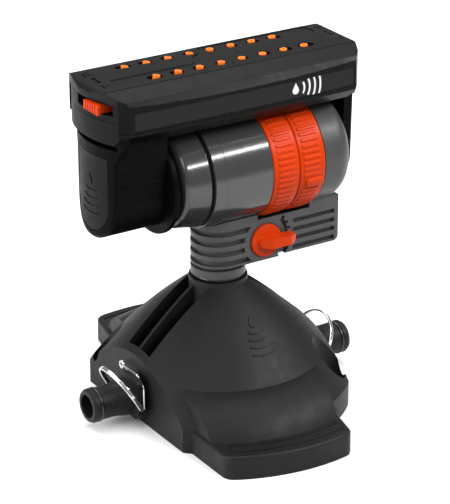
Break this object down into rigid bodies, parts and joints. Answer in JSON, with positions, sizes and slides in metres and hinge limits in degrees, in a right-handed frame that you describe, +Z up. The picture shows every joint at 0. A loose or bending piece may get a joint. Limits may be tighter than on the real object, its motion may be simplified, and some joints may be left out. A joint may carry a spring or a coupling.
{
  "type": "oscillating sprinkler",
  "caption": "Lawn sprinkler: a slotted nozzle head swings over a geared barrel on a swivelling column, above a low bell base with two pads and a hose stub at each end.",
  "frame": {"origin": "on the ground under the middle of the base, on the column's swivel axis", "axes": "+Z up; +X along the barrel, away from the pod; -Y is the side with the flow knob"},
  "size_m": [0.165, 0.2, 0.1965],
  "materials": {
    "base_plastic": "fine matt moulded grain",
    "bracket_plastic": "satin moulded",
    "barrel_plastic": "polished satin",
    "orange_plastic": "satin moulded",
    "nozzle_rubber": "soft satin",
    "head_plastic": "fine matt moulded grain",
    "head_gloss": "gloss",
    "strip_plastic": "satin",
    "seal_rubber": "wet-looking rubber",
    "spring_steel": "bright spring wire",
    "axle_steel": "ground",
    "gear_plastic": "natural acetal"
  },
  "bodies": {
    "base": {"base_shell": "base_plastic", "supply_tee": "base_plastic", "tee_screws": "axle_steel", "inlet_connector": "base_plastic", "outlet_connector": "base_plastic", "connector_o_rings": "seal_rubber", "clip_wires": "spring_steel"},
    "inlet_bail": {"inlet_bail": "spring_steel"},
    "outlet_bail": {"outlet_bail": "spring_steel"},
    "arm": {"column_bracket": "bracket_plastic", "swivel_circlip": "axle_steel", "arm_seals": "seal_rubber", "barrel_body": "barrel_plastic", "barrel_front_ring": "barrel_plastic", "gearbox_front_plate": "gear_plastic", "gearbox_rear_plate": "gear_plastic", "gear_axles": "axle_steel", "stator_plate": "gear_plastic"},
    "flow_valve": {"flow_knob": "orange_plastic", "valve_plug": "gear_plastic", "valve_seals": "seal_rubber"},
    "left_range_ring": {"range_ring_left": "orange_plastic"},
    "right_range_ring": {"range_ring_right": "orange_plastic"},
    "first_gear": {"first_compound_gear": "gear_plastic"},
    "second_gear": {"second_compound_gear": "gear_plastic"},
    "turbine": {"turbine_shaft": "axle_steel", "turbine_wheel": "gear_plastic"},
    "flap": {"reversing_flap": "gear_plastic"},
    "head": {"output_shaft": "gear_plastic", "output_gear": "gear_plastic", "head_collar": "barrel_plastic", "pod_disc": "head_plastic", "pod_housing": "head_plastic", "pod_plaque": "strip_plastic", "pivot_arm": "head_plastic", "head_tray": "head_gloss", "head_cover": "head_plastic", "cover_screws": "axle_steel", "side_strips": "strip_plastic", "window_panels": "strip_plastic", "end_panels": "strip_plastic", "nozzle_carrier": "head_plastic"},
    "left_slider": {"spread_slider_left": "orange_plastic"},
    "right_slider": {"spread_slider_right": "orange_plastic"},
    "nozzle_01": {"nozzle_01": "nozzle_rubber"},
    "nozzle_02": {"nozzle_02": "nozzle_rubber"},
    "nozzle_03": {"nozzle_03": "nozzle_rubber"},
    "nozzle_04": {"nozzle_04": "nozzle_rubber"},
    "nozzle_05": {"nozzle_05": "nozzle_rubber"},
    "nozzle_06": {"nozzle_06": "nozzle_rubber"},
    "nozzle_07": {"nozzle_07": "nozzle_rubber"},
    "nozzle_08": {"nozzle_08": "nozzle_rubber"},
    "nozzle_09": {"nozzle_09": "nozzle_rubber"},
    "nozzle_10": {"nozzle_10": "nozzle_rubber"},
    "nozzle_11": {"nozzle_11": "nozzle_rubber"},
    "nozzle_12": {"nozzle_12": "nozzle_rubber"},
    "nozzle_13": {"nozzle_13": "nozzle_rubber"},
    "nozzle_14": {"nozzle_14": "nozzle_rubber"},
    "nozzle_15": {"nozzle_15": "nozzle_rubber"},
    "nozzle_16": {"nozzle_16": "nozzle_rubber"}
  },
  "joints": [
    {"name": "column_swivel", "type": "hinge", "parent": "base", "child": "arm", "pos_m": [0, 0, 0.0745], "axis": [0, 0, 1], "continuous": true},
    {"name": "head_swing", "type": "hinge", "parent": "arm", "child": "head", "pos_m": [0, 0, 0.1345], "axis": [1, 0, 0], "range_deg": [-45, 45]},
    {"name": "left_range_set", "type": "hinge", "parent": "arm", "child": "left_range_ring", "pos_m": [0.024, 0, 0.1345], "axis": [1, 0, 0], "range_deg": [-60, 60]},
    {"name": "right_range_set", "type": "hinge", "parent": "arm", "child": "right_range_ring", "pos_m": [0.0404, 0, 0.1345], "axis": [1, 0, 0], "range_deg": [-60, 60]},
    {"name": "flow_valve_turn", "type": "hinge", "parent": "arm", "child": "flow_valve", "pos_m": [0.0207, 0, 0.0923], "axis": [0, 1, 0], "range_deg": [-45, 45]},
    {"name": "first_gear_spin", "type": "hinge", "parent": "arm", "child": "first_gear", "pos_m": [0, 0, 0.1505], "axis": [1, 0, 0], "range_deg": [-140, 140]},
    {"name": "second_gear_spin", "type": "hinge", "parent": "arm", "child": "second_gear", "pos_m": [0.008, 0.00894, 0.1425], "axis": [1, 0, 0], "range_deg": [-280, 280]},
    {"name": "turbine_spin", "type": "hinge", "parent": "arm", "child": "turbine", "pos_m": [0.03, 0, 0.1345], "axis": [1, 0, 0], "range_deg": [-560, 560]},
    {"name": "flap_turn", "type": "hinge", "parent": "arm", "child": "flap", "pos_m": [0.052, 0, 0.1345], "axis": [1, 0, 0], "range_deg": [-24, 0]},
    {"name": "inlet_bail_swing", "type": "hinge", "parent": "base", "child": "inlet_bail", "pos_m": [-0.0585, 0, 0.0125], "axis": [0, 1, 0], "range_deg": [-20, 15]},
    {"name": "outlet_bail_swing", "type": "hinge", "parent": "base", "child": "outlet_bail", "pos_m": [0.0585, 0, 0.0125], "axis": [0, -1, 0], "range_deg": [-20, 15]},
    {"name": "left_spread_slide", "type": "slide", "parent": "head", "child": "left_slider", "axis": [0, 1, 0], "range_m": [-0.0035, 0.01]},
    {"name": "right_spread_slide", "type": "slide", "parent": "head", "child": "right_slider", "axis": [0, -1, 0], "range_m": [-0.0035, 0.01]},
    {"name": "nozzle_01_tilt", "type": "hinge", "parent": "head", "child": "nozzle_01", "pos_m": [-0.04425, -0.0103, 0.1876], "axis": [0, 1, 0], "range_deg": [-22.43, 8.18]},
    {"name": "nozzle_02_tilt", "type": "hinge", "parent": "head", "child": "nozzle_02", "pos_m": [-0.03105, -0.0103, 0.1876], "axis": [0, 1, 0], "range_deg": [-17.47, 6.44]},
    {"name": "nozzle_03_tilt", "type": "hinge", "parent": "head", "child": "nozzle_03", "pos_m": [-0.01785, -0.0103, 0.1876], "axis": [0, 1, 0], "range_deg": [-12.51, 4.71]},
    {"name": "nozzle_04_tilt", "type": "hinge", "parent": "head", "child": "nozzle_04", "pos_m": [-0.00465, -0.0103, 0.1876], "axis": [0, 1, 0], "range_deg": [-7.56, 2.97]},
    {"name": "nozzle_05_tilt", "type": "hinge", "parent": "head", "child": "nozzle_05", "pos_m": [0.00855, -0.0103, 0.1876], "axis": [0, 1, 0], "range_deg": [-3.86, 10.11]},
    {"name": "nozzle_06_tilt", "type": "hinge", "parent": "head", "child": "nozzle_06", "pos_m": [0.02175, -0.0103, 0.1876], "axis": [0, 1, 0], "range_deg": [-5.6, 15.07]},
    {"name": "nozzle_07_tilt", "type": "hinge", "parent": "head", "child": "nozzle_07", "pos_m": [0.03495, -0.0103, 0.1876], "axis": [0, 1, 0], "range_deg": [-7.33, 20.03]},
    {"name": "nozzle_08_tilt", "type": "hinge", "parent": "head", "child": "nozzle_08", "pos_m": [0.04815, -0.0103, 0.1876], "axis": [0, 1, 0], "range_deg": [-9.07, 24.99]},
    {"name": "nozzle_09_tilt", "type": "hinge", "parent": "head", "child": "nozzle_09", "pos_m": [-0.05105, 0.0103, 0.1876], "axis": [0, 1, 0], "range_deg": [-24.99, 9.07]},
    {"name": "nozzle_10_tilt", "type": "hinge", "parent": "head", "child": "nozzle_10", "pos_m": [-0.03785, 0.0103, 0.1876], "axis": [0, 1, 0], "range_deg": [-20.03, 7.33]},
    {"name": "nozzle_11_tilt", "type": "hinge", "parent": "head", "child": "nozzle_11", "pos_m": [-0.02465, 0.0103, 0.1876], "axis": [0, 1, 0], "range_deg": [-15.07, 5.6]},
    {"name": "nozzle_12_tilt", "type": "hinge", "parent": "head", "child": "nozzle_12", "pos_m": [-0.01145, 0.0103, 0.1876], "axis": [0, 1, 0], "range_deg": [-10.11, 3.86]},
    {"name": "nozzle_13_tilt", "type": "hinge", "parent": "head", "child": "nozzle_13", "pos_m": [0.00175, 0.0103, 0.1876], "axis": [0, 1, 0], "range_deg": [-2.97, 7.56]},
    {"name": "nozzle_14_tilt", "type": "hinge", "parent": "head", "child": "nozzle_14", "pos_m": [0.01495, 0.0103, 0.1876], "axis": [0, 1, 0], "range_deg": [-4.71, 12.51]},
    {"name": "nozzle_15_tilt", "type": "hinge", "parent": "head", "child": "nozzle_15", "pos_m": [0.02815, 0.0103, 0.1876], "axis": [0, 1, 0], "range_deg": [-6.44, 17.47]},
    {"name": "nozzle_16_tilt", "type": "hinge", "parent": "head", "child": "nozzle_16", "pos_m": [0.04135, 0.0103, 0.1876], "axis": [0, 1, 0], "range_deg": [-8.18, 22.43]}
  ],
  "couplings": [
    {"joint": "first_gear_spin", "follows": "head_swing", "ratio": -3},
    {"joint": "second_gear_spin", "follows": "head_swing", "ratio": 6},
    {"joint": "turbine_spin", "follows": "head_swing", "ratio": -12},
    {"joint": "nozzle_01_tilt", "follows": "left_spread_slide", "rad_per_m": -38.277},
    {"joint": "nozzle_02_tilt", "follows": "left_spread_slide", "rad_per_m": -29.623},
    {"joint": "nozzle_03_tilt", "follows": "left_spread_slide", "rad_per_m": -20.969},
    {"joint": "nozzle_04_tilt", "follows": "left_spread_slide", "rad_per_m": -12.315},
    {"joint": "nozzle_05_tilt", "follows": "right_spread_slide", "rad_per_m": 16.773},
    {"joint": "nozzle_06_tilt", "follows": "right_spread_slide", "rad_per_m": 25.427},
    {"joint": "nozzle_07_tilt", "follows": "right_spread_slide", "rad_per_m": 34.081},
    {"joint": "nozzle_08_tilt", "follows": "right_spread_slide", "rad_per_m": 42.735},
    {"joint": "nozzle_09_tilt", "follows": "left_spread_slide", "rad_per_m": -42.735},
    {"joint": "nozzle_10_tilt", "follows": "left_spread_slide", "rad_per_m": -34.081},
    {"joint": "nozzle_11_tilt", "follows": "left_spread_slide", "rad_per_m": -25.427},
    {"joint": "nozzle_12_tilt", "follows": "left_spread_slide", "rad_per_m": -16.773},
    {"joint": "nozzle_13_tilt", "follows": "right_spread_slide", "rad_per_m": 12.315},
    {"joint": "nozzle_14_tilt", "follows": "right_spread_slide", "rad_per_m": 20.969},
    {"joint": "nozzle_15_tilt", "follows": "right_spread_slide", "rad_per_m": 29.623},
    {"joint": "nozzle_16_tilt", "follows": "right_spread_slide", "rad_per_m": 38.277}
  ]
}
